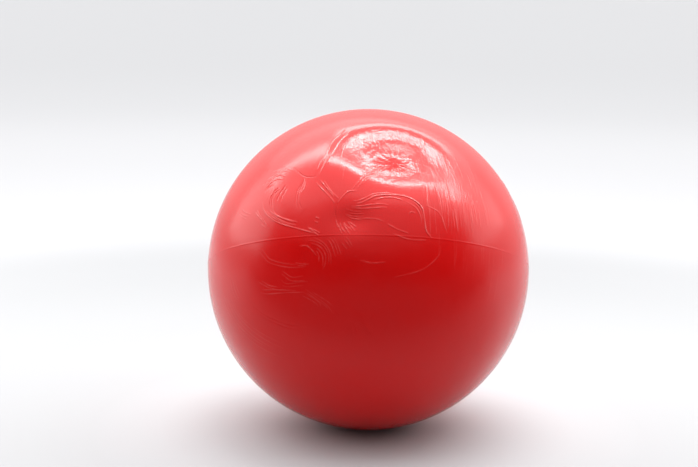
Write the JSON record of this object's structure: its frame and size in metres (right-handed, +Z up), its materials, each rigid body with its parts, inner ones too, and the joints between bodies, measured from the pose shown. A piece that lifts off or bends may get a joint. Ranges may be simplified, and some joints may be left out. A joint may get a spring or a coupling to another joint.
{
  "type": "massage ball",
  "caption": "Smooth hollow massage ball of soft plastic with a raised parting line, a soft valve seat and a push-in plug.",
  "frame": {"origin": "centre of the small flat that the resting ball presses into its skin, on the ground", "axes": "+Z up; the mould's axis, with the valve at its upper end, leans 22 degrees from +Z towards +Y, so the parting line is highest on the -Y side"},
  "size_m": [0.0904, 0.09, 0.0896],
  "materials": {
    "skin": "gloss",
    "valve_seat": "satin",
    "valve_plug": "satin"
  },
  "bodies": {
    "ball": {"shell": "skin", "valve_seat": "valve_seat"},
    "plug": {"valve_plug": "valve_plug"}
  },
  "joints": [
    {"name": "plug_pull", "type": "slide", "parent": "ball", "child": "plug", "axis": [0, 0.3746, 0.9272], "range_m": [0, 0.016]}
  ]
}
